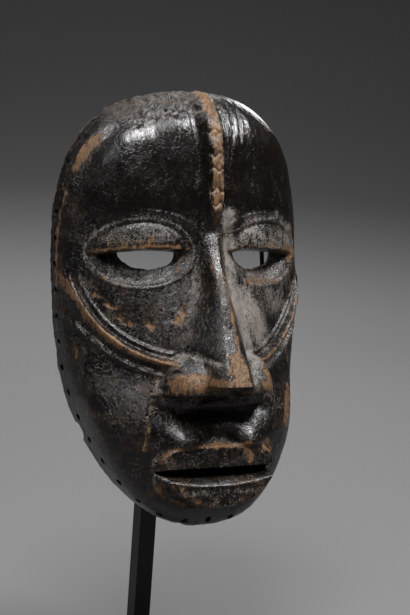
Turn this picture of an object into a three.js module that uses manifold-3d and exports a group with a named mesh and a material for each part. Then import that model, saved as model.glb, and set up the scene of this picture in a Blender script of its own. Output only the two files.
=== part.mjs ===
// Carved wooden face mask, hollow behind, held on a square bar and a bent rod above a steel foot.
// Millimetres, +Z up. The mask looks along -Y, and the origin is the middle of the foot's underside.
import * as THREE from 'three';
import { mergeVertices } from 'three/addons/utils/BufferGeometryUtils.js';
import Module from 'manifold-3d';

const wasm = await Module();
wasm.setup();

// driving sizes of the mask
const maskWidth = 170.4;
const maskHeight = 280;
const noseReach = 99.2;
const rimWall = 7;
const faceWall = 11;
const maskLean = 9;

// slits, rim holes and the broken place in the rim
const slitLength = 36;
const slitHeight = 10.5;
const holeWidth = 4.8;
const holeSpacing = 16.6;
const holeInset = 6.5;
const chinHoleInset = 13;
const notchWidth = 12;
const notchDepth = 5.5;

// driving sizes of the stand
const footWidth = 150;
const footDepth = 150;
const footThick = 12;
const barWidth = 12;
const barSetback = 15;
const barBelowMiddle = 32;
const rodWidth = 3;
const rodInsideRim = 17.7;
const rodBehindRim = 5;
const rodTip = 88;
const rodTipIn = 9;
const maskForward = 25;
const chinClearance = 112;
const fitGap = 0.3;

// longest step between the carved face's corners, and the rings round its wall and round the hollow's
const cornerStep = 6.2;
const wallRings = 3;
const hollowRings = 2;

// The carving is laid out on a face 170.4 wide, 280 high and 99.2 deep, and follows the mask's size.
const laidOut = { width: 170.4, height: 280, depth: 99.2 };
const scaleX = maskWidth / laidOut.width;
const scaleZ = maskHeight / laidOut.height;
const scaleY = noseReach / laidOut.depth;

// Outline of the rim: an egg, fullest at the level of the eyes
const outline = { halfWidth: 85.2, level: 30, rise: 107, drop: 173, roundTop: 2.45, roundChin: 2.3 };
// Squareness of the dome's section towards side, top, jaw and chin
const section = { side: 3.4, top: 1.8, jaw: 1.9, chin: -2.2 };
// The rim runs level down to the jaw and then comes forward under the chin
const chinRim = { forward: 42, from: -50, to: -143, bend: 1.5 };
// Depth of the broad planes of forehead, cheeks and jaw
const planes = {
  brow: 61, browFall: 17, browEdge: 82, browPower: 2.6, crownFall: 5, crownFrom: 100, crownTo: 140,
  cheekMid: 56, cheekSwell: 15, cheekSide: 47, cheekSideFall: 4, cheekFrom: 8, cheekTo: 74,
  jaw: 73, jawFall: 15, jawEdge: 66, jawPower: 2.4,
};
const keel = { halfFlat: 3.2, halfFoot: 10, height: 8.5, end: 46, full: 60 };
const eye = {
  across: 43.5, level: 31.5, halfWide: 31, halfHigh: 20.5, floor: 7.5, lidBulge: 5.5, lidEdge: 32,
  slitNearer: 6.3,
};
const ridge = { fromX: 28, fromZ: 20, wide: 57, high: 58, round: 1.7, crest: 5, crestWidth: 3.2 };
const nose = {
  root: 69.6, rootLevel: 22, slope: 0.411, tip: -50.5, narrow: 12, broad: 26, flatTop: 2, flatTip: 6.5,
};
const wing = { across: 22.5, halfWide: 15.8, foot: -55.5, high: 23, stand: 85, fall: 3, back: 9, square: 0.34 };
const lips = {
  halfWide: 41, top: -88, parting: -104, bottom: -128.5, upper: 72.5, lower: 75, cornerFall: 3, slit: 9,
  shelf: 65, shelfBack: -105.5, shelfEdge: -115, shelfCurve: 6, bottomCurve: 22,
  endDrop: 11, hump: 7.5, recess: 8.5, recessAt: -66, groove: 2.2,
};
// Hollow behind: where it stays shallower, behind the sunk eyes and behind the recess under the nose
const hollow = { eyeDepth: 3, eyeBelow: 7, eyeWide: 30, eyeHigh: 15, mouthDepth: 6, mouthHigh: 14 };

const smooth = (from, to, value) => {
  const share = Math.min(Math.max((value - from) / (to - from), 0), 1);
  return share * share * (3 - 2 * share);
};
const bell = (value, middle, width) => Math.exp(-(((value - middle) / width) ** 2));
const mix = (a, b, share) => a + (b - a) * share;

// Where a place lies on the dome: its reach, 1 at the rim, and the squareness of the section there
function placeOn(x, z, inset) {
  const across = x / (outline.halfWidth - inset);
  const half = z < outline.level ? outline.drop : outline.rise;
  const up = (z - outline.level) / (half - inset);
  const round = up < 0 ? outline.roundChin : outline.roundTop;
  const reach = (Math.abs(across) ** round + Math.abs(up) ** round) ** (1 / round);
  const turn = THREE.MathUtils.radToDeg(Math.atan2(up, Math.abs(across) + 1e-9));
  const square = section.side + section.top * smooth(5, 80, turn)
    + section.jaw * smooth(-5, -45, turn) + section.chin * smooth(-38, -90, turn);
  return { reach, square };
}

// Share of the roof's depth that the dome has at a place, 0 at the rim and 1 at the middle
function domeShare(x, z, inset) {
  const { reach, square } = placeOn(x, z, inset);
  return Math.max(1 - Math.min(reach, 1) ** square, 0) ** (1 / square);
}

// The point in the same direction from the middle where the dome has a given share
function atShare(x, z, inset, share) {
  const { reach, square } = placeOn(x, z, inset);
  const ratio = (1 - share ** square) ** (1 / square) / reach;
  return { x: x * ratio, z: outline.level + (z - outline.level) * ratio };
}

// How far the rim's plane lies in front of y = 0 at a height
function rimForward(z) {
  const share = THREE.MathUtils.clamp((chinRim.from - z) / (chinRim.from - chinRim.to), 0, 1.1);
  return chinRim.forward * share ** chinRim.bend;
}

// Broad planes of the face: arched forehead, cheeks sloping back from the nose, square jaw
function roofDepth(x, z) {
  const a = Math.abs(x);
  const brow = planes.brow - planes.browFall * (a / planes.browEdge) ** planes.browPower
    - planes.crownFall * smooth(planes.crownFrom, planes.crownTo, z);
  const middle = planes.cheekMid + planes.cheekSwell * smooth(28, -36, z);
  const side = planes.cheekSide - planes.cheekSideFall * smooth(20, -20, z);
  const cheek = mix(middle, side, smooth(planes.cheekFrom, planes.cheekTo, a));
  const jaw = planes.jaw - planes.jawFall * (a / planes.jawEdge) ** planes.jawPower;
  return mix(brow, mix(cheek, jaw, smooth(-34, -84, z)), smooth(60, 10, z));
}

// Distance outside the crest line of the curved cheek ridge
function pastCrest(a, z) {
  const wide = Math.max(a - ridge.fromX, 0);
  const high = Math.max(ridge.fromZ - z, 0);
  const level = ((wide / ridge.wide) ** ridge.round + (high / ridge.high) ** ridge.round) ** (1 / ridge.round);
  if (level < 1e-3) {
    return -ridge.wide;
  }
  return (level - 1) * Math.hypot(wide, high) / level;
}

function cheekRidge(a, z, share) {
  const t = pastCrest(a, z);
  const sunk = -2.5 * smooth(0, -9, t) * smooth(30, 12, z) * smooth(12, 26, a);
  const along = smooth(27, 15, z) * smooth(24, 32, a) * smooth(0.12, 0.4, share);
  return sunk + along * ridge.crest * bell(t, 0, ridge.crestWidth);
}

// Eye: an oval socket with a heavy lid above its straight edge and a sunk floor below
function eyeCarving(a, z) {
  const out = Math.hypot((a - eye.across) / eye.halfWide, (z - eye.level) / eye.halfHigh);
  const round = -2 * smooth(1.5, 1, out) * smooth(20, 34, z);
  const edge = eye.lidEdge - 1.5 * smooth(58, 72, a);
  const lid = smooth(0, 1.8, z - edge);
  const floor = -eye.floor * smooth(1, 0.5, out);
  const bulge = eye.lidBulge * Math.max(1 - out * out, 0);
  return round + mix(floor, bulge, lid);
}

function noseDepth(a, z, depth) {
  const crest = nose.root + nose.slope * (nose.rootLevel - z);
  const half = mix(nose.narrow, nose.broad, smooth(25, -45, z));
  const flat = mix(nose.flatTop, nose.flatTip, smooth(-18, -50, z));
  const profile = (1 - smooth(0, 1, (a - flat) / (half - flat))) ** 1.15;
  const along = smooth(nose.tip - 4, nose.tip, z) * smooth(58, 38, z);
  return depth + Math.max(crest - depth, 0) * profile * along;
}

function wingDepth(a, z, depth) {
  const out = Math.hypot((a - wing.across) / wing.halfWide, Math.max(z - wing.foot, 0) / wing.high);
  const swell = Math.max(1 - out * out, 0) ** wing.square * smooth(wing.foot - 4, wing.foot - 1, z);
  const risen = Math.max(z - wing.foot, 0) / wing.high;
  const top = wing.stand - wing.fall * ((a - wing.across) / wing.halfWide) ** 2 - wing.back * risen * risen;
  return depth + Math.max(top - depth, 0) * swell;
}

// Above the lips: a recess under the nose, and two humps sloping out to the lip with a groove between
function lipSlope(a, z) {
  const near = smooth(48, 22, a);
  const hump = lips.hump * bell(z, lips.top - 1, 10) * bell(a, 22, 12) * smooth(lips.top - 8, lips.top, z);
  const grooveEnds = smooth(lips.top - 4, lips.top + 2, z) * smooth(nose.tip - 6, nose.tip - 14, z);
  const groove = lips.groove * bell(a, 0, 8) * grooveEnds;
  return hump - groove - lips.recess * near * bell(z, lips.recessAt, 8.5);
}

// Lips: a flat upper lip, a parting cut in and a shelf-like lower lip, both standing off the face
function lipDepth(a, z, depth) {
  const out = a / lips.halfWide;
  const end = smooth(lips.halfWide, lips.halfWide - 3, a);
  const upper = smooth(lips.top + 1, lips.top - 2.5, z + lips.endDrop * out ** 7)
    * smooth(lips.parting - 1, lips.parting + 0.5, z);
  const upperFace = lips.upper - lips.cornerFall * out * out;
  let result = depth + Math.max(upperFace - depth, 0) * upper * end;
  const bottom = lips.bottom + lips.bottomCurve * Math.min(out, 1) ** 2.6;
  const lower = smooth(bottom - 3.5, bottom + 3.5, z) * smooth(lips.parting - 0.5, lips.parting - 2.5, z);
  const edge = lips.shelfEdge + lips.shelfCurve * out * out;
  const lowerFace = mix(lips.shelf, lips.lower, smooth(lips.shelfBack, edge, z)) - lips.cornerFall * out * out;
  result += Math.max(lowerFace - result, 0) * lower * end;
  const parted = smooth(lips.parting + 1.5, lips.parting, z) * smooth(lips.parting - 4, lips.parting - 2, z);
  return result - lips.slit * parted * smooth(lips.halfWide + 0.5, lips.halfWide - 3, a);
}

function faceDepth(x, z, share) {
  const a = Math.abs(x);
  let depth = mix(rimForward(z), roofDepth(x, z), share);
  depth += cheekRidge(a, z, share) + eyeCarving(a, z);
  depth += keel.height * (1 - smooth(keel.halfFlat, keel.halfFoot, a)) * smooth(keel.end, keel.full, z)
    * smooth(0.2, 0.7, share);
  depth = noseDepth(a, z, depth);
  depth = wingDepth(a, z, depth);
  depth += lipSlope(a, z);
  return lipDepth(a, z, depth);
}

function hollowDepth(x, z, share) {
  const a = Math.abs(x);
  const eyes = bell(a, eye.across - 6, hollow.eyeWide) * bell(z, eye.level - hollow.eyeBelow, hollow.eyeHigh);
  const mouth = smooth(54, 26, a) * bell(z, lips.recessAt, hollow.mouthHigh);
  const filled = hollow.eyeDepth * eyes + hollow.mouthDepth * mouth;
  const roof = roofDepth(x, z) - faceWall / scaleY - filled;
  return mix(rimForward(z), roof, share);
}

// Places at all the named marks, with even steps no longer than the longest one between them
function stepped(marks, longest) {
  const places = [marks[0]];
  for (let k = 1; k < marks.length; k += 1) {
    const count = Math.ceil(Math.abs(marks[k] - marks[k - 1]) / longest);
    for (let i = 1; i <= count; i += 1) {
      places.push(mix(marks[k - 1], marks[k], i / count));
    }
  }
  return places;
}

// The grid ends short of the rim, and its outer rows bend towards the outline
const grid = {
  edge: 0.955, highShare: 0.8785, lowShare: 0.9364, highBend: 90, lowBend: -118, sideShares: [0.651, 0.787, 0.916],
};
const gridSide = grid.edge * outline.halfWidth;
const gridHigh = outline.level + grid.highShare * outline.rise;
const gridLow = outline.level - grid.lowShare * outline.drop;
const columnMarks = [
  0, keel.halfFlat, keel.halfFoot, 21, 32, 36, wing.across + wing.halfWide, lips.halfWide + 0.5,
  ...grid.sideShares.map((share) => share * gridSide), gridSide,
];
const crestRow = ridge.fromZ - ridge.high;
const rowMarks = [
  gridLow, lips.shelfEdge, lips.parting - 3.5, lips.parting - 1.5, lips.parting, lips.parting + 1.5, lips.top - 2,
  lips.top + 0.5, wing.foot - 4, wing.foot - 1, nose.tip, crestRow - 4.6, crestRow - 2.3, crestRow, crestRow + 2.3,
  crestRow + 4.6, 11, eye.lidEdge - slitHeight, eye.lidEdge, eye.lidEdge + 1.8, keel.end, keel.full, gridHigh,
];

// Height of a row where it has bent up to run along the cheek ridge
function bentRow(row, a) {
  const along = THREE.MathUtils.clamp((a - ridge.fromX) / ridge.wide, 0, 1);
  const lift = ridge.high * (1 - (1 - along ** ridge.round) ** (1 / ridge.round));
  const above = row > crestRow;
  const reach = above ? Math.max(49, 1.4 * lift) : Math.max(14, 1.6 * lift);
  return row + lift * Math.max(1 - Math.abs(row - crestRow) / reach, 0);
}

// Grid of places across the dome's face: straight rows, and columns that draw in with the outline
function facePlaces(inset, longest) {
  const halves = stepped(columnMarks, longest);
  const columns = [...halves.slice(1).reverse().map((place) => -place), ...halves];
  const rows = stepped(rowMarks, longest);
  if (rows.length % 2 === 0) {
    rows.splice(-1, 0, (rows[rows.length - 1] + rows[rows.length - 2]) / 2);
  }
  const roundOff = (place, half, round) => Math.max(1 - (Math.abs(place) / half) ** round, 0) ** (1 / round);
  return columns.map((column) => rows.map((row) => {
    let x = column;
    let z = row;
    const up = row > outline.level;
    const round = up ? outline.roundTop : outline.roundChin;
    const half = grid.edge * (up ? outline.rise : outline.drop);
    const limit = up ? gridHigh : gridLow;
    const bendFrom = up ? grid.highBend : grid.lowBend;
    const bend = THREE.MathUtils.clamp((row - bendFrom) / (limit - bendFrom), 0, 1) ** 2;
    for (let i = 0; i < 4; i += 1) {
      const width = roundOff(row + 0.8 * (z - row) - outline.level, half, round);
      const part = column / gridSide;
      x = column / Math.sqrt(1 + part * part * (1 / (width * width) - 1));
      const edgeZ = outline.level + (up ? 1 : -1) * half * roundOff(x, gridSide, round);
      z = bentRow(row, Math.abs(x)) + bend * (edgeZ - limit);
    }
    const whole = up ? outline.rise : outline.drop;
    return {
      x: x * (1 - inset / outline.halfWidth),
      z: outline.level + (z - outline.level) * (1 - inset / whole),
    };
  }));
}

// Index pairs round a grid's edge, anticlockwise from the lower left as seen from the front
function edgeLoop(across, up) {
  const loop = [];
  for (let i = 0; i < across; i += 1) {
    loop.push([i, 0]);
  }
  for (let j = 0; j < up; j += 1) {
    loop.push([across, j]);
  }
  for (let i = across; i > 0; i -= 1) {
    loop.push([i, up]);
  }
  for (let j = up; j > 0; j -= 1) {
    loop.push([0, j]);
  }
  return loop;
}

// Face or hollow as points and triangles: the grid, then rings down the wall to the rim
function skin(sheet, places, inset, depthAt, rings, backwards) {
  const addPoint = ({ x, z }, share) => {
    const depth = depthAt(x, z, share);
    return sheet.points.push(x * scaleX, -depth * scaleY, z * scaleZ) / 3 - 1;
  };
  const face = (a, b, c) => sheet.triangles.push(...(backwards ? [a, c, b] : [a, b, c]));
  const numbers = places.map((column) => column.map((p) => addPoint(p, domeShare(p.x, p.z, inset))));
  for (let i = 0; i + 1 < places.length; i += 1) {
    for (let j = 0; j + 1 < places[0].length; j += 1) {
      const [a, b, c, d] = [numbers[i][j], numbers[i + 1][j], numbers[i + 1][j + 1], numbers[i][j + 1]];
      if ((i + j) % 2) {
        face(a, b, c);
        face(a, c, d);
      } else {
        face(a, b, d);
        face(b, c, d);
      }
    }
  }
  const loop = edgeLoop(places.length - 1, places[0].length - 1);
  let outer = loop.map(([i, j]) => numbers[i][j]);
  for (let ring = 1; ring <= rings; ring += 1) {
    const next = loop.map(([i, j]) => {
      const p = places[i][j];
      const share = domeShare(p.x, p.z, inset) * (1 - ring / rings);
      return addPoint(atShare(p.x, p.z, inset, share), share);
    });
    for (let k = 0; k < loop.length; k += 1) {
      const after = (k + 1) % loop.length;
      face(outer[k], next[k], next[after]);
      face(outer[k], next[after], outer[after]);
    }
    outer = next;
  }
  return outer;
}

function maskShell() {
  const sheet = { points: [], triangles: [] };
  const places = facePlaces(0, cornerStep);
  const outer = skin(sheet, places, 0, faceDepth, wallRings, false);
  const coarse = facePlaces(rimWall / scaleX, cornerStep)
    .filter((column, i) => i % 2 === 0).map((column) => column.filter((place, j) => j % 2 === 0));
  const inner = skin(sheet, coarse, rimWall / scaleX, hollowDepth, hollowRings, true);
  for (let k = 0; k < inner.length; k += 1) {
    const next = (k + 1) % inner.length;
    const [o0, o1, o2] = [outer[2 * k], outer[2 * k + 1], outer[(2 * k + 2) % outer.length]];
    sheet.triangles.push(o1, o0, inner[k], o1, inner[k], inner[next], o2, o1, inner[next]);
  }
  return solidOf(sheet.points, sheet.triangles);
}

function solidOf(points, triangles) {
  return new wasm.Manifold(new wasm.Mesh({
    numProp: 3,
    vertProperties: new Float32Array(points),
    triVerts: new Uint32Array(triangles),
  }));
}

function solidOfGeometry(geometry) {
  const bare = geometry.clone();
  bare.deleteAttribute('normal');
  bare.deleteAttribute('uv');
  const merged = mergeVertices(bare, 1e-4);
  return solidOf(merged.attributes.position.array, merged.index.array);
}

function geometryOf(solid) {
  const mesh = solid.getMesh();
  const geometry = new THREE.BufferGeometry();
  geometry.setAttribute('position', new THREE.BufferAttribute(new Float32Array(mesh.vertProperties), 3));
  geometry.setIndex(new THREE.BufferAttribute(new Uint32Array(mesh.triVerts), 1));
  geometry.computeVertexNormals();
  return geometry;
}

// Slit of one eye: straight under the lid, curved below, cut straight back
function slitCutter(side) {
  const half = slitLength / 2;
  const shape = new THREE.Shape();
  shape.moveTo(-half, 0);
  const steps = 10;
  for (let i = 1; i < steps; i += 1) {
    const angle = Math.PI + (Math.PI * i) / steps;
    shape.lineTo(half * Math.cos(angle), slitHeight * Math.abs(Math.sin(angle)) ** 0.7 * -1);
  }
  shape.lineTo(half, 0);
  const length = noseReach;
  const geometry = new THREE.ExtrudeGeometry(shape, { depth: length, bevelEnabled: false });
  geometry.rotateX(Math.PI / 2);
  const slitAcross = (eye.across - eye.slitNearer) * scaleX;
  geometry.translate(side * slitAcross, 0, eye.lidEdge * scaleZ);
  return solidOfGeometry(geometry);
}

// Place on the outer wall at a distance from the rim, and the direction straight into the wood
function bandPlace(turn, inset) {
  const at = (angle, share) => {
    const up = Math.sin(angle);
    const half = up < 0 ? outline.drop : outline.rise;
    const p = atShare(Math.cos(angle) * outline.halfWidth, outline.level + up * half, 0, share);
    const depth = mix(rimForward(p.z), roofDepth(p.x, p.z), share);
    return new THREE.Vector3(p.x * scaleX, -depth * scaleY, p.z * scaleZ);
  };
  const rim = at(turn, 0);
  let near = 0.7;
  let far = 0;
  for (let i = 0; i < 40; i += 1) {
    const middle = (near + far) / 2;
    if (at(turn, middle).distanceTo(rim) > inset) {
      near = middle;
    } else {
      far = middle;
    }
  }
  const place = at(turn, far);
  const along = at(turn + 0.01, far).sub(at(turn - 0.01, far));
  const forward = at(turn, far + 0.05).sub(at(turn, Math.max(far - 0.05, 0)));
  const inward = along.cross(forward).normalize();
  if (inward.dot(new THREE.Vector3(place.x, 0, place.z)) > 0) {
    inward.negate();
  }
  return { rim, place, inward };
}

function pegAt(centre, direction, radius, length, sides) {
  const geometry = new THREE.CylinderGeometry(radius, radius, length, sides);
  const turn = new THREE.Quaternion().setFromUnitVectors(new THREE.Vector3(0, 1, 0), direction);
  geometry.applyQuaternion(turn);
  geometry.translate(centre.x, centre.y, centre.z);
  return solidOfGeometry(geometry);
}

// A rim hole's place: close to the rim up the sides, and further in under the chin
function holePlace(turn) {
  const low = smooth(0.35, 0.85, -Math.sin(turn));
  return bandPlace(turn, mix(holeInset, chinHoleInset, low));
}

// Angles of the rim holes, one hole at the chin's middle and the rest spaced along both sides
function holeAngles() {
  const crownStart = THREE.MathUtils.degToRad(52);
  const angles = [-Math.PI / 2];
  let walked = 0;
  let last = holePlace(-Math.PI / 2).place;
  const step = 0.004;
  for (let angle = -Math.PI / 2 + step; angle < crownStart; angle += step) {
    const { place } = holePlace(angle);
    walked += place.distanceTo(last);
    last = place;
    if (walked >= holeSpacing) {
      walked -= holeSpacing;
      angles.push(angle, Math.PI - angle);
    }
  }
  return angles;
}

function maskSolid() {
  let solid = maskShell();
  for (const side of [-1, 1]) {
    solid = solid.subtract(slitCutter(side));
  }
  const reach = 4 * rimWall;
  for (const angle of holeAngles()) {
    const { place, inward } = holePlace(angle);
    solid = solid.subtract(pegAt(place, inward, holeWidth / 2, reach, 6));
  }
  const notchAngle = THREE.MathUtils.degToRad(-141.5);
  const broken = bandPlace(notchAngle, holeInset);
  const bite = broken.rim.clone().setY(broken.rim.y + notchWidth / 2 - notchDepth);
  return solid.subtract(pegAt(bite, broken.inward, notchWidth / 2, reach, 10));
}

const lean = THREE.MathUtils.degToRad(maskLean);
const wood = new THREE.MeshStandardMaterial({ color: 0x2a211b, roughness: 0.45, metalness: 0 });
const steel = new THREE.MeshStandardMaterial({ color: 0x3b3a38, roughness: 0.5, metalness: 0.8 });

function named(name, geometry, material) {
  const mesh = new THREE.Mesh(geometry, material);
  mesh.name = name;
  return mesh;
}

// The mask leans back about the middle of its height, and stands forward of the bar
const maskPivot = footThick + chinClearance + maskHeight / 2;
const placed = new THREE.Matrix4()
  .makeRotationX(-lean)
  .setPosition(0, maskForward, maskPivot);
const maskGroup = new THREE.Group();
maskGroup.applyMatrix4(placed);
maskGroup.add(named('mask', geometryOf(maskSolid()), wood));

const barY = maskForward + barSetback;
const barBottom = footThick + fitGap;
const barTop = maskPivot - barBelowMiddle;
const bar = named('post', new THREE.BoxGeometry(barWidth, barWidth, barTop - barBottom), steel);
bar.position.set(0, barY, (barTop + barBottom) / 2);

const foot = named('foot', new THREE.BoxGeometry(footWidth, footDepth, footThick), steel);
foot.position.z = footThick / 2;

// Bent rod: across the bar's top, up both sides of the hollow and forward under the forehead
function rodPath() {
  const half = rodWidth / 2;
  const upright = (outline.halfWidth - rodInsideRim) * scaleX;
  const inMask = (x, y, z) => new THREE.Vector3(x, y, z).applyMatrix4(placed);
  const reachX = upright - rodTipIn;
  const tipZ = rodTip * scaleZ;
  const share = domeShare(reachX / scaleX, rodTip, rimWall / scaleX);
  const tipDepth = hollowDepth(reachX / scaleX, rodTip, share) * scaleY - half - 2 * fitGap;
  const side = [
    new THREE.Vector3(0.6 * upright, barY - 9, barTop + fitGap + half),
    new THREE.Vector3(0.93 * upright, barY - 17, barTop + fitGap + half + 4),
    inMask(upright, -rodBehindRim, -8 * scaleZ),
    inMask(upright, -rodBehindRim, 34 * scaleZ),
    inMask(upright, -rodBehindRim, tipZ - 14),
    inMask(upright - 0.4 * rodTipIn, -rodBehindRim - 5, tipZ - 2),
    inMask(reachX, -tipDepth, tipZ),
  ];
  const mirrored = side.map((p) => new THREE.Vector3(-p.x, p.y, p.z)).reverse();
  const middle = new THREE.Vector3(0, barY, barTop + fitGap + half);
  return new THREE.CatmullRomCurve3([...mirrored, middle, ...side], false, 'centripetal');
}

function rodGeometry() {
  const path = rodPath();
  const section = new THREE.Shape();
  const sides = 6;
  for (let i = 0; i < sides; i += 1) {
    const angle = (2 * Math.PI * i) / sides;
    const method = i ? 'lineTo' : 'moveTo';
    section[method](Math.cos(angle) * rodWidth / 2, Math.sin(angle) * rodWidth / 2);
  }
  const steps = Math.ceil(path.getLength() / (2.7 * rodWidth));
  return new THREE.ExtrudeGeometry(section, { steps, extrudePath: path, bevelEnabled: false });
}

const standing = new THREE.Group();
standing.add(maskGroup, bar, foot, named('cradle', geometryOf(solidOfGeometry(rodGeometry())), steel));

export default standing;
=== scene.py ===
import math
import bmesh
import bpy
import numpy as np
from mathutils import Matrix, Vector


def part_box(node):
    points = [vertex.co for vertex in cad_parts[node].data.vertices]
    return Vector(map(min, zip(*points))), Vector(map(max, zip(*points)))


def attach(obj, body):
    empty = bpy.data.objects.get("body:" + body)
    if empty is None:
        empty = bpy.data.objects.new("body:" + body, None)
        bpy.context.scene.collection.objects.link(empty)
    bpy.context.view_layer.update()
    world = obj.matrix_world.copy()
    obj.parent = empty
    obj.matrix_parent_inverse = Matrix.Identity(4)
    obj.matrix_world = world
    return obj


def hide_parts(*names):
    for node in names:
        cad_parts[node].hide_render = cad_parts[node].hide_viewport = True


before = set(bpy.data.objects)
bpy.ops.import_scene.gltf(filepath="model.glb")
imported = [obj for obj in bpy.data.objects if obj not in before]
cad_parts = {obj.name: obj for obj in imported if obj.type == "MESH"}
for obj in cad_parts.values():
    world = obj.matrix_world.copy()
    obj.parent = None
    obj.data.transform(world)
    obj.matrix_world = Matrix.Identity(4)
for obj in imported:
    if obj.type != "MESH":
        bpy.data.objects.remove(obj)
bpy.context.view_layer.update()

mm = 0.001  # the sizes below are in millimetres


# small helpers for whole arrays
def smooth(start, end, v):
    # 3t^2 - 2t^3 between start and end, 0 before and 1 after; start may be the larger one
    t = np.clip((v - start) / (end - start), 0, 1)
    return t * t * (3 - 2 * t)


def bell(v, middle, width):
    # e to the power of minus the squared distance from the middle in widths
    return np.exp(-((v - middle) / width) ** 2)


def mix(a, b, share):
    return a + (b - a) * share


def unit(vectors):
    return vectors / np.linalg.norm(vectors, axis=-1, keepdims=True)


def latticeNoise(points, size, seed):
    # random values on a cubic lattice of the given size, blended smoothly between its corners, -1 to 1
    repeat = 32
    table = np.random.default_rng(seed).uniform(-1, 1, (repeat, repeat, repeat))
    scaled = points / np.asarray(size, float)
    cell = np.floor(scaled).astype(int)
    t = scaled - cell
    t = t * t * (3 - 2 * t)
    total = np.zeros(points.shape[:-1])
    for corner in np.ndindex(2, 2, 2):
        near = (cell + corner) % repeat
        weight = np.where(corner, t, 1 - t).prod(-1)
        total += table[near[..., 0], near[..., 1], near[..., 2]] * weight
    return total


def strokeField(places, strokes):
    # each stroke is a start, an end, a radius and a strength: strength x (1.35 - distance / radius, 0 to 1)
    field = np.zeros(len(places))
    size = places.shape[1]
    for stroke in strokes:
        start, end = np.array(stroke[:size], float), np.array(stroke[size:2 * size], float)
        along = end - start
        t = np.clip((places - start) @ along / (along @ along + 1e-6), 0, 1)
        away = np.linalg.norm(places - start - t[:, None] * along, axis=1)
        field = np.maximum(field, stroke[-1] * np.clip(1.35 - away / stroke[-2], 0, 1))
    return field


# the mask's own frame: x to the viewer's right, depth towards the viewer, z up from half its height
mask = {
    "halfWidth": 85.2, "level": 30, "rise": 107, "drop": 173, "roundTop": 2.45, "roundChin": 2.3,
    "lean": 9, "forward": 25, "footThick": 12, "chinClearance": 112, "height": 280,
    "rimWall": 7, "faceWall": 11,
    "columnStep": 0.78, "rowStep": 0.78, "rings": 10, "backRings": 4, "coarse": 4, "sharpFrom": 48,
}
maskPivot = mask["footThick"] + mask["chinClearance"] + mask["height"] / 2
lean = math.radians(mask["lean"])


def toObject(x, depth, z):
    # the mask leans back about the x axis at the pivot and stands forward of the bar
    y = -depth * math.cos(lean) + z * math.sin(lean) + mask["forward"]
    up = z * math.cos(lean) + depth * math.sin(lean) + maskPivot
    return np.stack([x, y, up], -1)


def fromObject(points):
    # undoes toObject
    y = points[..., 1] - mask["forward"]
    z = points[..., 2] - maskPivot
    depth = -y * math.cos(lean) + z * math.sin(lean)
    return points[..., 0], depth, z * math.cos(lean) + y * math.sin(lean)


# dome of the mask
def placeOn(x, z, inset):
    # reach is the n-norm of the place in half sizes, 1 at the rim; square is the section's exponent there
    half = np.where(z < mask["level"], mask["drop"], mask["rise"]) - inset
    across = np.abs(x) / (mask["halfWidth"] - inset)
    up = (z - mask["level"]) / half
    n = np.where(up < 0, mask["roundChin"], mask["roundTop"])
    reach = (across ** n + np.abs(up) ** n) ** (1 / n)
    turn = np.degrees(np.arctan2(up, across + 1e-9))
    square = 3.4 + 1.8 * smooth(5, 80, turn) + 1.9 * smooth(-5, -45, turn) - 2.2 * smooth(-38, -90, turn)
    return reach, square


def domeShare(x, z, inset):
    # (1 - reach^p)^(1/p): 0 at the rim, 1 over the middle
    reach, p = placeOn(x, z, inset)
    return np.maximum(1 - np.minimum(reach, 1) ** p, 0) ** (1 / p)


def atShare(x, z, inset, share):
    # moves a place along its direction from the middle until the dome has the given share
    reach, p = placeOn(x, z, inset)
    ratio = (1 - share ** p) ** (1 / p) / reach
    return x * ratio, mask["level"] + (z - mask["level"]) * ratio


def rimForward(z):
    # the rim lies at depth 0 down to the jaw and comes forward under the chin
    return 42 * np.clip((-50 - z) / 93, 0, 1.1) ** 1.5


roof = {"brow": 61, "browFall": 17, "crownFall": 5, "middle": 56, "noseRise": 15, "side": 47, "sideFall": 4,
        "jaw": 73, "jawFall": 15}


def roofDepth(x, z):
    # arched forehead, cheeks sloping back from the nose, square jaw, blended by height
    r = roof
    a = np.abs(x)
    brow = r["brow"] - r["browFall"] * (a / 82) ** 2.6 - r["crownFall"] * smooth(100, 140, z)
    middle = r["middle"] + r["noseRise"] * smooth(28, -36, z)
    side = r["side"] - r["sideFall"] * smooth(20, -20, z)
    cheek = mix(middle, side, smooth(8, 74, a))
    jaw = r["jaw"] - r["jawFall"] * (a / 66) ** 2.4
    return mix(brow, mix(cheek, jaw, smooth(-34, -84, z)), smooth(60, 10, z))


def domeDepth(x, z, share):
    return mix(rimForward(z), roofDepth(x, z), share)


# carving of the face
carving = {
    "ridge": {"fromX": 28, "fromZ": 20, "wide": 57, "high": 58, "round": 1.7, "crest": 5, "crestWidth": 3,
              "thin": 1.5, "upper": -7, "lower": 7.4, "groove": 1.3},
    "eye": {"across": 43.5, "level": 31.5, "halfWide": 31, "halfHigh": 20.5, "welt": 0.7, "weltWidth": 0.045,
            "floor": 7.5, "step": 1.0, "lidBulge": 6.6, "lidSunk": 1.3, "lidEdge": 32},
    "keel": {"halfFlat": 3.2, "halfFoot": 9, "height": 8.5, "end": 44, "full": 60},
    "nose": {"root": 69.6, "rootLevel": 22, "slope": 0.411, "tip": -50.5, "flatTop": 2, "flatTip": 6.5},
    "wing": {"shift": 1.5, "across": 22.5, "halfWide": 14.6, "foot": -55.5, "high": 23, "stand": 85,
             "fall": 3, "back": 9, "square": 0.42, "groove": 0.9},
    "lips": {"halfWide": 41, "top": -88, "upperStand": 72.5, "bottom": -128.5, "lowerStand": 65, "shelf": 10,
             "endDrop": 11, "cornerFall": 3, "parting": 9, "hump": 7.5, "recess": 8.5, "recessAt": -66,
             "groove": 2.2},
}


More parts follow.
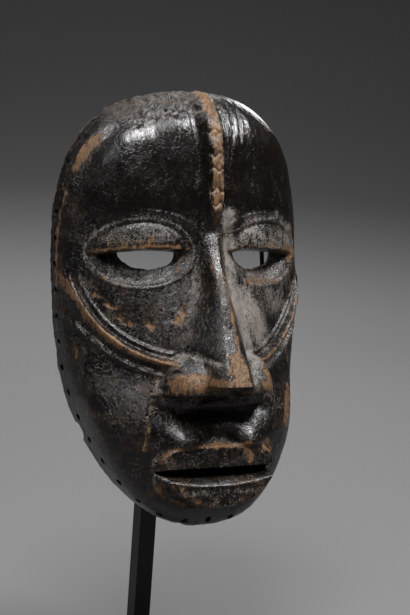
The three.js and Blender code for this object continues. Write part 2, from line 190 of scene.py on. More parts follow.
def pastCrest(a, z):
    # signed distance outside the superellipse that the cheek ridge's crest follows: (level - 1) x the
    # distance from its middle / level
    r = carving["ridge"]
    wide = np.maximum(a - r["fromX"], 0)
    high = np.maximum(r["fromZ"] - z, 0)
    level = ((wide / r["wide"]) ** r["round"] + (high / r["high"]) ** r["round"]) ** (1 / r["round"])
    return np.where(level > 1e-3, (level - 1) * np.hypot(wide, high) / np.maximum(level, 1e-3), -r["wide"])


def ridgeAlong(a, z, share):
    # where the cheek ridge runs: from the rim's side to the nose wing
    return smooth(27, 15, z) * smooth(24, 32, a) * smooth(0.12, 0.4, share)


def cheekRidge(a, z, share):
    # a thick crest with a thin ridge above and below it, each a bell across, with grooves between
    r = carving["ridge"]
    t = pastCrest(a, z)
    sunk = -2.5 * smooth(0, -9, t) * smooth(30, 12, z) * smooth(12, 26, a)
    thick = r["crest"] * bell(t, 0, r["crestWidth"])
    thin = r["thin"] * (bell(t, r["upper"], 1.2) + 1.1 * bell(t, r["lower"], 1.3))
    grooves = r["groove"] * (bell(t, -4.3, 1.2) + bell(t, 4.6, 1.2))
    return sunk + ridgeAlong(a, z, share) * (thick + thin - grooves)


def eyeReach(a, z):
    e = carving["eye"]
    return np.hypot((a - e["across"]) / e["halfWide"], (z - e["level"]) / e["halfHigh"])


def lidEdge(a):
    return carving["eye"]["lidEdge"] + 1.2 * bell(a, 36, 16) - 1.5 * smooth(58, 72, a)


def eyeCarving(a, z):
    # inside an ellipse: a swollen lid down to its straight edge, and a bowl below; a welt runs round it
    e = carving["eye"]
    out = eyeReach(a, z)
    around = e["welt"] * bell(out, 1.05, e["weltWidth"]) - 2 * smooth(1.5, 1, out) * smooth(20, 34, z)
    around = around + 0.8 * bell(out, 1.3, 0.035) * smooth(44, 52, z) * smooth(58, 40, a)
    inside = smooth(1, 0.93, out)
    lower = -e["floor"] * smooth(1, 0.45, out) - e["step"] * inside
    upper = -e["lidSunk"] * inside + e["lidBulge"] * np.maximum(1 - out ** 2, 0) ** 0.8
    lid = smooth(0, 1.7, z - lidEdge(a))
    return around + np.where(out < 1, mix(lower, upper, lid), 0)


def keelDepth(a, x, z, share):
    # a flat-topped bar down the forehead, tapering to a point between the brows, with a groove each side
    k = carving["keel"]
    taper = 0.35 + 0.65 * smooth(k["end"], k["full"] + 10, z)
    bar = 1 - smooth(k["halfFlat"] * taper, k["halfFoot"] * taper + 1, a)
    bar = k["height"] * bar * smooth(k["end"], k["full"], z) * smooth(0.2, 0.7, share)
    right = 0.9 * bell(x, 10.8, 1.0) * smooth(24, 40, z)
    left = 0.5 * bell(x, -11.5, 1.2) * smooth(60, 70, z)
    return bar - right - left


def noseDepth(a, z, depth):
    # the crest runs straight out to the tip; its flanks fall to the cheek over a width that grows
    n = carving["nose"]
    crest = n["root"] + n["slope"] * (n["rootLevel"] - z)
    half = 12 + 14 * smooth(25, -45, z)
    flat = mix(n["flatTop"], n["flatTip"], smooth(-18, -50, z))
    profile = (1 - smooth(0, 1, (a - flat) / (half - flat))) ** 1.15
    profile = profile * smooth(n["tip"] - 4, n["tip"], z) * smooth(58, 38, z)
    return depth + np.maximum(crest - depth, 0) * profile


def wingDepth(x, z, depth):
    # (1 - reach^2) to a power over a half ellipse above the nose's foot, with a groove cut round it
    w = carving["wing"]
    a = np.abs(x - w["shift"])
    out = np.hypot((a - w["across"]) / w["halfWide"], np.maximum(z - w["foot"], 0) / w["high"])
    swell = np.maximum(1 - out ** 2, 0) ** w["square"] * smooth(w["foot"] - 3, w["foot"] - 1, z)
    risen = np.maximum(z - w["foot"], 0) / w["high"]
    top = w["stand"] - w["fall"] * ((a - w["across"]) / w["halfWide"]) ** 2 - w["back"] * risen ** 2
    groove = w["groove"] * bell(out, 1.1, 0.08) * smooth(8, 14, a) * smooth(w["foot"], w["foot"] + 4, z)
    return depth + np.maximum(top - depth, 0) * swell - groove


def lipSlope(a, z):
    # a recess under the nose, and two humps sloping out to the lip with a groove between them
    lip, tip = carving["lips"], carving["nose"]["tip"]
    top = lip["top"]
    hump = lip["hump"] * bell(z, top - 1, 10) * bell(a, 22, 12) * smooth(top - 8, top, z)
    groove = lip["groove"] * bell(a, 0, 8) * smooth(top - 4, top + 2, z) * smooth(tip - 6, tip - 14, z)
    return hump - groove - lip["recess"] * smooth(48, 22, a) * bell(z, lip["recessAt"], 8.5)


def lipDepth(a, z, depth):
    # a flat-faced upper lip, a parting cut in and a shelf-like lower lip
    lip = carving["lips"]
    half = lip["halfWide"]
    out = a / half
    end = smooth(half, half - 3, a)
    upper = smooth(lip["top"] + 0.3, lip["top"] - 1.7, z + lip["endDrop"] * out ** 7)
    upper = upper * smooth(-105, -103.5, z)
    fall = lip["cornerFall"] * out ** 2
    depth = depth + np.maximum(lip["upperStand"] - fall - depth, 0) * upper * end
    bottom = lip["bottom"] + 22 * np.clip(out, 0, 1) ** 2.6
    lower = smooth(bottom - 1.8, bottom + 1.2, z) * smooth(-104.5, -106.5, z)
    shelf = lip["lowerStand"] + lip["shelf"] * smooth(-105.5, -115 + 6 * out ** 2, z) - fall
    depth = depth + np.maximum(shelf - depth, 0) * lower * end
    parted = smooth(-102.7, -104, z) * smooth(-107.5, -106, z) * smooth(half + 0.5, half - 5, a)
    return depth - lip["parting"] * parted * (1 - 0.5 * np.clip(out, 0, 1) ** 3)


def faceDepth(x, z, share):
    # the dome, then each carved form added on it in turn
    a = np.abs(x)
    depth = domeDepth(x, z, share) + cheekRidge(a, z, share) + eyeCarving(a, z) + keelDepth(a, x, z, share)
    depth = wingDepth(x, z, noseDepth(a, z, depth))
    return lipDepth(a, z, depth + lipSlope(a, z))


def hollowDepth(x, z, share):
    # the roof less the wall, shallower behind the sunk eyes and behind the recess under the nose
    a = np.abs(x)
    filled = 3 * bell(a, 37.2, 30) * bell(z, 24.5, 15) + 6 * smooth(54, 26, a) * bell(z, -66, 14)
    return mix(rimForward(z), roofDepth(x, z) - mask["faceWall"] - filled, share)


# rows and columns of the face: evenly spaced, and passing through every named edge
def throughMarks(marks, step, multiple):
    # even steps between neighbouring marks; the longest stretch takes more, to make the count a multiple
    counts = np.maximum(np.round(np.abs(np.diff(marks)) / step), 1).astype(int)
    longest = int(np.argmax(counts))
    counts[longest] += (-counts.sum()) % multiple
    parts = [np.linspace(marks[k], marks[k + 1], counts[k] + 1)[:-1] for k in range(len(counts))]
    return np.concatenate(parts + [np.array([marks[-1]], float)])


grid = {"edge": 0.955, "high": 124, "low": -132, "highBend": 90, "lowBend": -118, "side": 81.4}


def facePlaces(columns, rows, inset):
    # rows stay level, bend up along the cheek ridge and round off at crown and chin;
    # a column x shrinks to x / sqrt(1 + s^2 (1/w^2 - 1)), w the outline's width and s the column's share
    column, row = np.meshgrid(columns, rows, indexing="ij")
    up = row > mask["level"]
    n = np.where(up, mask["roundTop"], mask["roundChin"])
    half = grid["edge"] * np.where(up, mask["rise"], mask["drop"])
    limit = np.where(up, grid["high"], grid["low"])
    bendFrom = np.where(up, grid["highBend"], grid["lowBend"])
    bend = np.clip((row - bendFrom) / (limit - bendFrom), 0, 1) ** 2
    roundOff = lambda place, size: np.maximum(1 - (np.abs(place) / size) ** n, 0) ** (1 / n)
    r = carving["ridge"]
    crestRow = r["fromZ"] - r["high"]
    x, z = column, row
    for _ in range(4):
        width = np.maximum(roundOff(row + 0.8 * (z - row) - mask["level"], half), 0.05)
        x = column / np.sqrt(1 + (column / grid["side"]) ** 2 * (1 / width ** 2 - 1))
        edgeZ = mask["level"] + np.where(up, 1, -1) * half * roundOff(x, grid["side"])
        along = np.clip((np.abs(x) - r["fromX"]) / r["wide"], 0, 1)
        lift = r["high"] * (1 - (1 - along ** r["round"]) ** (1 / r["round"]))
        spread = np.where(row > crestRow, np.maximum(49, 1.4 * lift), np.maximum(14, 1.6 * lift))
        z = row + lift * np.maximum(1 - np.abs(row - crestRow) / spread, 0) + bend * (edgeZ - limit)
    whole = np.where(z > mask["level"], mask["rise"], mask["drop"])
    return x * (1 - inset / mask["halfWidth"]), mask["level"] + (z - mask["level"]) * (1 - inset / whole)


def between(rings):
    # quads from each ring of indices to the next
    after = np.roll(rings, -1, axis=1)
    return np.stack([rings[:-1], rings[1:], after[1:], after[:-1]], -1).reshape(-1, 4)


def closedTube(count, sides):
    # faces of a tube through that many rings of points, with both ends closed
    rings = np.arange(count * sides).reshape(count, sides)
    return between(rings).tolist() + [rings[0].tolist(), rings[-1, ::-1].tolist()]


def skin(columns, rows, inset, rings, first):
    # the grid, then rings at even shares down to the rim; returns x, z, shares, quads and the last ring
    x, z = facePlaces(columns, rows, inset)
    share = domeShare(x, z, inset)
    index = np.arange(x.size).reshape(x.shape)
    quads = np.stack([index[:-1, :-1], index[1:, :-1], index[1:, 1:], index[:-1, 1:]], -1).reshape(-1, 4)
    # round the grid from its lower left, anticlockwise as seen from the front
    loop = np.concatenate([index[:-1, 0], index[-1, :-1], index[:0:-1, -1], index[0, :0:-1]])
    ringShare = share.ravel()[loop] * (1 - np.arange(1, rings + 1) / rings)[:, None]
    ringX, ringZ = atShare(x.ravel()[loop], z.ravel()[loop], inset, ringShare)
    chain = np.concatenate([loop[None, :], x.size + np.arange(ringX.size).reshape(ringX.shape)])
    x, z, share = (np.concatenate([inner.ravel(), outer.ravel()])
                   for inner, outer in ((x, ringX), (z, ringZ), (share, ringShare)))
    return x, z, share, first + np.concatenate([quads, between(chain)]), first + chain[-1]


weathering = {
    "uneven": 0.6, "unevenSize": 15, "knife": 0.3, "knifeSize": (4.5, 4.5, 10),
    "grain": 0.035, "grainSize": (1.1, 1.1, 8), "ridgeUneven": 0.75,
    "eroded": 2.2, "erodedSize": 3.4, "keelCracks": (62, 71, 84, 93, 108, 121), "crackDepth": 1.1,
    # vertical splits in the forehead: x, lowest z, highest z, depth
    "splits": ((13.5, 84, 135, 0.8), (17.2, 98, 132, 1.3), (23.2, 100, 131, 1.2), (-9.4, 62, 120, 0.35)),
    # chips knocked off the patina: x0, z0, x1, z1, radius, depth
    "chips": ((-20, -3, -24, -12, 2.6, 0.7), (-63, 0, -60, -1, 1.8, 0.7), (-41, -13, -39, -14, 1.8, 0.6),
              (-56, -9, -52, -12, 1.6, 0.6), (-26, -7, -27, -11, 1.5, 0.5), (62, -64, 58, -77, 3.2, 0.9),
              (66, -58, 67, -66, 2.0, 0.8), (-41, -56, -45, -70, 1.9, 0.4), (-47, -78, -47, -88, 1.6, 0.4)),
    "chipDepth": 0.8,
    # noise is read at x, the dome's share times these lengths, and z
    "skinLength": 40, "rimLength": 60,
}


def weatherDepth(x, z, share):
    # unevenness left by the knife, grain, rough eroded crown, cracks across the keel, splits and chips
    w = weathering
    at = np.stack([x, share * w["skinLength"], z], -1)
    depth = 0 * x
    for seed, name in ((11, "uneven"), (12, "knife"), (13, "grain")):
        depth += w[name] * latticeNoise(at, w[name + "Size"], seed)
    crown = erodedCrown(x, z, share)
    rough = latticeNoise(at, w["erodedSize"], 14) + 0.6 * latticeNoise(at, w["erodedSize"] / 2.3, 15)
    depth = depth - w["eroded"] * crown * (0.45 + 0.55 * rough)
    a = np.abs(x)
    onRidge = ridgeAlong(a, z, share) * bell(pastCrest(a, z), 0, 4)
    uneven = latticeNoise(at, 8, 17) + 0.7 * latticeNoise(at, 3.5, 18)
    depth = depth + w["ridgeUneven"] * onRidge * (uneven - 0.35)
    onKeel = smooth(7, 3, a) * smooth(0.5, 0.8, share)
    k = carving["keel"]
    depth = depth + w["ridgeUneven"] * onKeel * (uneven - 0.3) * smooth(k["end"], k["full"], z)
    for number, level in enumerate(w["keelCracks"]):
        wave = level + 1.3 * np.sin(x * 0.9 + 2.1 * number)
        depth = depth - w["crackDepth"] * onKeel * bell(z, wave, 0.85)
    for middle, low, high, deep in w["splits"]:
        wander = middle + 0.9 * np.sin(z * 0.13 + middle)
        depth = depth - deep * bell(x, wander, 0.75) * smooth(low, low + 8, z) * smooth(high, high - 6, z)
    ragged = 0.5 * latticeNoise(at, 2.1, 16)
    chip = strokeField(np.stack([x, z], -1), w["chips"])
    return depth - smooth(0.25, 0.75, chip + ragged * (chip > 0.05)) * w["chipDepth"]


def erodedCrown(x, z, share):
    # the worm-eaten band along the crown, widest to the viewer's left of the keel
    return smooth(0.95, 0.84, share) * smooth(-62, -50, x) * smooth(20, 4, x) * smooth(108, 118, z)


def newObject(name, data):
    made = bpy.data.objects.new(name, data)
    bpy.context.scene.collection.objects.link(made)
    return made


def newMesh(name, points, faces):
    data = bpy.data.meshes.new(name)
    data.from_pydata((points * mm).tolist(), [], faces)
    data.update()
    return newObject(name, data)


def maskShell():
    # the carved front at full detail, the hollow at a quarter of it, and a flat rim stitched between them
    k, lip, n, e = carving["keel"], carving["lips"], carving["nose"], carving["eye"]
    halves = throughMarks([0, k["halfFlat"], k["halfFoot"], lip["halfWide"] - 3, lip["halfWide"],
                           grid["side"]], mask["columnStep"], 2)
    columns = np.concatenate([-halves[:0:-1], halves])
    rows = throughMarks([grid["low"], -115, -108, -106, -104, -102.5, -90, -87.5, -59.5, -56.5, n["tip"] - 4,
                         n["tip"], -38, e["lidEdge"], e["lidEdge"] + 1.7, k["end"], k["full"], grid["high"]],
                        mask["rowStep"], 4)
    x, z, share, quads, outer = skin(columns, rows, 0, mask["rings"], 0)
    depth = faceDepth(x, z, share) + weatherDepth(x, z, share) * smooth(0, 0.06, share)
    front = toObject(x, depth, z) + ruggedRim(x, z, share)

    step = mask["coarse"]
    x, z, share, backQuads, inner = skin(columns[::step], rows[::step], mask["rimWall"], mask["backRings"],
                                         len(front))
    at = np.stack([x, share * weathering["skinLength"], z], -1)
    back = toObject(x, hollowDepth(x, z, share) + 0.5 * latticeNoise(at, 9, 21) * smooth(0, 0.2, share), z)

    nextInner = np.roll(inner, -1)
    rim = []
    for part in range(step):
        near, far = outer[part::step], np.roll(outer, -1)[part::step]
        rim.append(np.stack([far, near, inner if part < step // 2 else nextInner], -1))
    rim.append(np.stack([outer[step // 2::step], inner, nextInner], -1))
    faces = quads.tolist() + backQuads[:, ::-1].tolist() + np.concatenate(rim).tolist()
    return newMesh("carvedMask", np.concatenate([front, back]), faces)


def fromMiddle(x, depth, z):
    # roughly the way that the dome faces at a place on its side, with a depth part of its own
    return np.stack([x / 85, np.full(len(x), -depth), (z - mask["level"]) / 140], -1)


def ruggedRim(x, z, share):
    # the rim's outline wanders inwards by up to a millimetre, and the crown is pitted
    at = np.stack([x, 0 * x, z], -1)
    wander = 0.45 * latticeNoise(at, 8, 31) + 0.3 * latticeNoise(at, 3, 32)
    within = np.stack([x, share * weathering["rimLength"], z], -1)
    pitted = latticeNoise(within, 3.6, 33) + 0.7 * latticeNoise(within, 1.7, 34)
    crown = weathering["eroded"] * erodedCrown(x, z, share)
    worn = (wander - 0.5) * smooth(0.75, 0, share) - crown * np.clip(0.4 + 0.75 * pitted, 0, 1.2)
    worn = worn + 0.12 * latticeNoise(within, 2.6, 35) * smooth(0.8, 0.3, share)
    return unit(fromMiddle(x, 0, z)) * worn[:, None]


# eye slits, rim holes and the broken place in the rim
opening = {"slitAcross": 37.2, "slitHalf": 18, "slitHigh": 10.5, "slitReach": (100, -5), "holeWidth": 4.8,
           "holeSpacing": 16.6, "holeInset": 6.5, "chinHoleInset": 13, "crownStart": 52, "notchAngle": -141.5,
           "notchWidth": 12, "notchDepth": 5.5, "pegLength": 28}


def slitPrism(side, seed):
    # straight under the lid; below it |sin| of the angle to a power that tapers the left end, and chipped
    o = opening
    angle = np.linspace(math.pi, 2 * math.pi, 61)
    rng = np.random.default_rng(seed)
    chipped = np.convolve(rng.uniform(-1, 1, len(angle)), np.ones(3) / 3, "same") * np.sin(angle) ** 2
    power = mix(1.15, 0.6, smooth(-1, 1, np.cos(angle)))
    z = np.minimum(-o["slitHigh"] * np.abs(np.sin(angle)) ** power + 1.2 * chipped, 0)
    z[0] = z[-1] = 0
    topX = np.linspace(o["slitHalf"], -o["slitHalf"], 25)[1:-1]
    x = np.concatenate([o["slitHalf"] * np.cos(angle), topX]) + side * o["slitAcross"]
    z = np.concatenate([z + carving["eye"]["lidEdge"], lidEdge(np.abs(topX + side * o["slitAcross"]))])
    ends = [toObject(x, np.full(len(x), d), z) for d in o["slitReach"]]
    return np.concatenate(ends), closedTube(2, len(x))


def bandPlace(turn, inset):
    # place on the bare wall at a distance from the rim, found by halving, and the direction into the wood
    def at(angle, share):
        up = math.sin(angle)
        half = mask["drop"] if up < 0 else mask["rise"]
        x, z = atShare(math.cos(angle) * mask["halfWidth"], mask["level"] + up * half, 0, share)
        return np.array([x, -domeDepth(x, z, share), z], float)
    near, far = 0.7, 0.0
    for _ in range(30):
        middle = (near + far) / 2
        if np.linalg.norm(at(turn, middle) - at(turn, 0)) > inset:
            near = middle
        else:
            far = middle
    place = at(turn, far)
    alongRim = at(turn + 0.01, far) - at(turn - 0.01, far)
    inward = unit(np.cross(alongRim, at(turn, far + 0.05) - at(turn, max(far - 0.05, 0))))
    return at(turn, 0), place, -inward if inward[0] * place[0] + inward[2] * place[2] > 0 else inward


def holePlace(turn):
    # close to the rim up the sides, further in under the chin
    low = float(smooth(0.35, 0.85, -math.sin(turn)))
    return bandPlace(turn, mix(opening["holeInset"], opening["chinHoleInset"], low))


def holeAngles():
    # one hole at the chin's middle, the rest at one spacing up both sides, none over the crown
    angles, walked, step = [-math.pi / 2], 0.0, 0.004
    last = holePlace(-math.pi / 2)[1]
    for angle in np.arange(-math.pi / 2 + step, math.radians(opening["crownStart"]), step):
        place = holePlace(angle)[1]
        walked += np.linalg.norm(place - last)
        last = place
        if walked >= opening["holeSpacing"]:
            walked -= opening["holeSpacing"]
            angles += [angle, math.pi - angle]
    return angles


def fullTurn(count):
    return 2 * math.pi * np.arange(count) / count


def peg(centre, axis, radius, sides, seed):
    # an uneven round peg: radius x (1 + small waves) about an axis through the centre
    sideways = unit(np.cross(axis, [0, 0, 1]))
    angle = fullTurn(sides)[:, None]
    rng = np.random.default_rng(seed)
    waves = 0.07 * np.sin(2 * angle + rng.uniform(0, 6)) + 0.05 * np.sin(3 * angle + rng.uniform(0, 6))
    circle = radius * (1 + waves) * (np.cos(angle) * sideways + np.sin(angle) * np.cross(axis, sideways))
    half = axis * opening["pegLength"] / 2
    local = np.concatenate([centre + circle - half, centre + circle + half])
    return toObject(local[:, 0], -local[:, 1], local[:, 2]), closedTube(2, sides)


def cutters():
    # every cutter in one mesh; none of them meets another
    parts = [slitPrism(-1, 5), slitPrism(1, 8)]
    rng = np.random.default_rng(3)
    for k, angle in enumerate(holeAngles()):
        place, inward = holePlace(angle)[1:]
        width = opening["holeWidth"] * rng.uniform(0.92, 1.12)
        parts.append(peg(place, inward, width / 2, 14, 40 + k))
    rim, _, inward = bandPlace(math.radians(opening["notchAngle"]), opening["holeInset"])
    half = opening["notchWidth"] / 2
    parts.append(peg(rim + [0, half - opening["notchDepth"], 0], inward, half, 24, 9))
    points, faces, first = [], [], 0
    for part, partFaces in parts:
        points.append(part)
        faces += [[first + v for v in face] for face in partFaces]
        first += len(part)
    piece = newMesh("maskCutters", np.concatenate(points), faces)
    outwards(piece)
    return piece


def outwards(piece):
    # turns every face of closed shells outwards
    work = bmesh.new()
    work.from_mesh(piece.data)
    bmesh.ops.recalc_face_normals(work, faces=work.faces)
    work.to_mesh(piece.data)
    work.free()


def cutAway(piece, cutter):
    # joins a boolean into the piece's own mesh and removes the cutter
    modifier = piece.modifiers.new("cut", "BOOLEAN")
    modifier.operation = "DIFFERENCE"
    modifier.object = cutter
    modifier.solver = "MANIFOLD"
    evaluated = piece.evaluated_get(bpy.context.evaluated_depsgraph_get())
    data = bpy.data.meshes.new_from_object(evaluated)
    piece.modifiers.clear()
    old = piece.data
    piece.data = data
    bpy.data.meshes.remove(old)
    bpy.data.objects.remove(cutter)


def readVectors(items, key):
    flat = np.empty(len(items) * 3)
    items.foreach_get(key, flat)
    return flat.reshape(-1, 3)


def shadeSmooth(piece, sharpFrom):
    piece.data.shade_smooth()
    piece.data.set_sharp_from_angle(angle=math.radians(sharpFrom))


# wear: strokes of bare wood on the face, x0, z0, x1, z1, radius, strength
wornStrokes = {
    "keel": ((0.5, 132, 0.5, 60, 4.6, 1.1), (0.5, 60, 1, 52, 3, 0.9)),
    "noseCrest": ((2.6, 30, 2.6, 12, 1, 0.6), (2.6, 12, 3.2, -20, 1.7, 0.85), (3.2, -20, 1, -36, 3, 0.95),
                  (0.5, -36, 1.5, -52, 7, 1.2)),
    "upperLip": ((-39, -98, -34, -91, 1.7, 0.85), (-34, -90.5, -10, -89, 1.5, 0.85),
                 (-10, -89, 18, -89.5, 2, 0.9), (18, -90, 21, -99, 4.2, 0.8), (33, -91, 40, -94, 3, 1),
                 (37, -88, 40, -97, 2.6, 0.95)),
    "lowerLip": ((-38, -113, -33, -121, 2.2, 1.05), (-33, -121, -20, -127, 1.3, 0.9),
                 (-20, -127, 20, -128, 0.9, 0.65), (20, -129, 38, -116, 1.4, 0.75)),
    "lids": ((-70, 33, -50, 35, 2.6, 0.95), (-50, 35.5, -22, 35, 2.2, 0.95), (62, 34, 73, 33, 3.6, 1),
             (-64, 37, -40, 40, 2.5, 0.55), (70, 28, 72, 31, 3, 0.9)),
    "sockets": ((-16, 34, -21, 20, 1.8, 0.7), (-60, 13, -68, 19, 1.6, 0.6), (28, 14, 58, 13, 3.2, 0.62)),
    "stripe": ((-38, -44, -41, -56, 2, 0.6), (-42, -60, -45, -70, 1.6, 0.5), (-45, -72, -47, -90, 2.4, 0.6)),
    "cheeks": ((-20, -3, -24, -11, 3.4, 0.85), (-63, 0, -59, -2, 2.6, 0.8), (-42, -12, -39, -15, 2.6, 0.8),
               (-56, -8, -50, -13, 2.2, 0.75), (-66, 4, -70, 6, 1.5, 0.7), (-84, 2, -84, -11, 1.6, 0.8),
               (-80, -26, -78, -34, 1.6, 0.6), (62, -62, 58, -78, 4, 1.1), (66, -56, 68, -66, 3, 1),
               (-76, -66, -70, -70, 2.6, 0.6), (66, -30, 70, -40, 1.6, 0.7), (-13, 2, -15, -3, 1.6, 0.6)),
}
# the nose wings, where the wear keeps off their outer ends
wingStrokes = ((-37, -51, -10, -50, 5.4, 1.15), (-30, -47, -16, -47, 4.2, 1), (28, -51, 38, -51, 5, 1.2),
               (32, -44, 33, -49, 6, 1.2))
# rubbed edge of the side band and crown: x, depth, z at both ends, radius, strength
bandStrokes = (
    (-63, 33, 105, -67, 29, 102, 3.5, 0.8), (-67, 29, 102, -73, 24, 95, 8.4, 0.9),
    (-73, 24, 95, -77, 21, 86, 6, 0.85), (-77, 21, 86, -80, 18, 78, 2.6, 0.75),
    (-80, 18, 78, -83, 14, 60, 2.2, 0.72), (-83, 14, 60, -85, 10, 40, 2.3, 0.9),
    (-85, 10, 40, -85, 8, 20, 2.2, 0.9), (-85, 8, 20, -85, 6, -8, 1.6, 0.72),
    (-84, 5, -12, -82, 4, -34, 1.4, 0.75), (62, 36, 106, 70, 24, 92, 2.6, 1),
    (70, 24, 92, 76, 18, 78, 2.2, 0.95), (44, 46, 118, 62, 36, 106, 1.4, 0.6),
    (76, 18, 78, 82, 12, 55, 1.6, 0.7), (-70, 28, -82, -64, 34, -92, 2.4, 0.8),
    (-76, 18, -62, -72, 24, -72, 2, 0.7),
)
# places polished by handling
polishStrokes = {
    "nose": ((-1, 36, -4, -40, 10, 1.2),),
    "lips": ((-34, -80, 34, -80, 14, 1.3), (-34, -112, 34, -110, 8, 0.9)),
    "forehead": ((-50, 98, -34, 110, 8, 0.8), (-20, 105, -8, 108, 7, 0.8), (16, 114, 60, 96, 12, 0.9)),
    "lids": ((-62, 41, -28, 43, 4, 0.5),),
}
# grey dust caught low in the carving
dustStrokes = {
    "noseRoot": ((12, 55, 15, 30, 7, 0.95), (15, 30, 18, 4, 8, 1), (17, 4, 24, -34, 11, 1),
                 (-12, 48, -15, 24, 5, 0.35), (-13, 24, -17, 2, 5, 0.25), (12, 118, 12, 60, 3, 0.2),
                 (-11, 100, -10, 52, 2, 0.25)),
    "lids": ((-64, 40, -26, 42, 5, 0.52), (26, 42, 66, 38, 12, 0.72), (28, 20, 64, 16, 14, 0.62)),
    "brows": ((26, 54, 52, 56, 4, 0.8), (52, 56, 70, 48, 3, 0.6), (-24, 54, -50, 56, 4, 0.5),
              (-50, 56, -72, 44, 3, 0.5)),
    "cheeks": ((24, 4, 38, -18, 15, 0.95), (34, 4, 58, 2, 17, 0.68), (-74, 14, -60, -16, 4, 0.4)),
    "wings": ((-40, -55, -36, -42, 2.2, 0.85), (-36, -42, -22, -32, 2.2, 0.85),
              (-22, -32, -10, -37, 2.2, 0.8), (15, -40, 20, -54, 3, 0.9)),
    "mouth": ((-34, -118, 32, -118, 2.5, 0.55), (-41, -104, -38, -108, 3, 0.7)),
}


def allStrokes(table):
    return [stroke for group in table.values() for stroke in group]


def boxBlur(field, cells):
    # running mean along both axes, three times over, close to a bell
    kernel = np.ones(2 * cells + 1) / (2 * cells + 1)
    runningMean = lambda line: np.convolve(np.pad(line, cells, "edge"), kernel, "valid")
    for _ in range(3):
        for axis in (0, 1):
            field = np.apply_along_axis(runningMean, axis, field)
    return field


raster = {"left": -92, "right": 92, "low": -150, "high": 144, "near": 3}


def standingProud(x, z):
    # how far the carving stands out of its own mean nearby, read between the cells of a 1 mm raster
    r = raster
    cellX, cellZ = np.meshgrid(np.arange(r["left"], r["right"] + 1.0), np.arange(r["low"], r["high"] + 1.0),
                               indexing="ij")
    share = domeShare(cellX, cellZ, 0)
    carved = faceDepth(cellX, cellZ, share) - domeDepth(cellX, cellZ, share)
    proud = carved - boxBlur(carved, r["near"])
    u = np.clip(x - r["left"], 0, proud.shape[0] - 1.001)
    v = np.clip(z - r["low"], 0, proud.shape[1] - 1.001)
    i, j = u.astype(int), v.astype(int)
    lower, upper = (mix(proud[i, row], proud[i + 1, row], u - i) for row in (j, j + 1))
    return mix(lower, upper, v - j)


def paintMask(data):
    # attributes that the wood's finish reads: bare wood, dust, the smooth band with its painted sheen,
    # polish, crown, inside and grime
    normals = readVectors(data.vertex_normals, "vector")
    x, depth, z = fromObject(readVectors(data.vertices, "co") / mm)
    a = np.abs(x)
    face = np.stack([x, z], -1)
    share = domeShare(x, z, 0)
    facing = smooth(0.45, 0.6, share)
    proud = standingProud(x, z)

    # outside: facing away from the hollow, or well in front of it
    hollow = hollowDepth(x, z, domeShare(x, z, mask["rimWall"]))
    inFront = smooth(3, 5, depth - hollow) * smooth(0.3, 0.5, share)
    outside = np.maximum(smooth(-0.05, 0.1, (normals * fromMiddle(x, 0.8, z)).sum(1)), inFront)

    # bare wood: strokes, the crests, every edge that stands proud, and the rim
    ridge = carving["ridge"]
    t = pastCrest(a, z)
    along = ridgeAlong(a, z, share)
    width = 2 + 0.9 * latticeNoise(np.stack([x, 0 * x, z], -1), 11, 51)
    width = width * (0.4 + 0.6 * smooth(0.35, 0.85, share))
    crest = along * np.clip(1.5 - np.abs(t) / width, 0, 1) * (0.72 + 0.2 * (x < 0))
    edges = 0.5 * smooth(0.6, 2.2, proud) * smooth(0.45, 0.7, share) * (1 - bell(z, -104, 8))
    rimEdge = 0.42 * smooth(0.08, 0.0, share)
    onWings = strokeField(face, wingStrokes) * smooth(36.6, 35.2, np.abs(x - carving["wing"]["shift"]))
    worn = np.max([strokeField(face, allStrokes(wornStrokes)) * facing, onWings,
                   strokeField(np.stack([x, depth, z], -1), bandStrokes), crest, edges, rimEdge], axis=0)

    # dust: strokes, the thin ridges, the low places and the welts round the eyes
    reach = eyeReach(a, z)
    thinLines = along * (bell(t, ridge["lower"], 1.2) + bell(t, ridge["upper"], 1.2))
    low = smooth(-0.3, -1.6, proud) * smooth(0.5, 0.8, share) * (0.6 - 0.35 * smooth(44, 56, z))
    dust = np.max([strokeField(face, allStrokes(dustStrokes)) * facing, 0.6 * thinLines, low], axis=0)
    dust = dust * (1 - 0.5 * smooth(0.95, 0.7, reach) * (z < 32) * (x < 0))
    polish = np.max([strokeField(face, allStrokes(polishStrokes)), 0.7 * along * bell(t, 0, 8),
                     0.55 * smooth(0.7, 0.4, share)], axis=0)

    # the smooth band low on the sides is coloured light grey in the finish: a painted sheen
    painted = {"worn": worn * outside, "dust": np.maximum(dust, 0.7 * bell(reach, 1.05, 0.05)) * outside,
               "sheenBand": smooth(-56, -64, z) * smooth(0.66, 0.56, share) * outside, "polish": polish * outside,
               "crown": erodedCrown(x, z, share) * outside, "inside": 1 - outside,
               "grime": 1 - 0.85 * smooth(46, 62, z) * smooth(0.5, 0.75, share)}
    for name, values in painted.items():
        data.attributes.new(name, "FLOAT", "POINT").data.foreach_set("value", np.asarray(values, np.float32))


# shader maths: a wrapped socket adds Math nodes for the operators used on it
class Term:
    def __init__(self, nodes, socket):
        self.nodes = nodes
        self.socket = socket

    def maths(self, operation, *values):
        node = self.nodes.add("Math", {"operation": operation}, dict(enumerate(values)))
        return Term(self.nodes, node.outputs[0])

    __add__ = __radd__ = lambda self, other: self.maths("ADD", self, other)
    __mul__ = __rmul__ = lambda self, other: self.maths("MULTIPLY", self, other)
    __sub__ = lambda self, other: self.maths("SUBTRACT", self, other)
    __rsub__ = lambda self, other: self.maths("SUBTRACT", other, self)
    larger = lambda self, other: self.maths("MAXIMUM", self, other)

    def step(self, start, end):
        # smooth step from 0 at start to 1 at end
        node = self.nodes.add("MapRange", {"interpolation_type": "SMOOTHSTEP"},
                              {"Value": self, "From Min": start, "From Max": end})
        return Term(self.nodes, node.outputs["Result"])


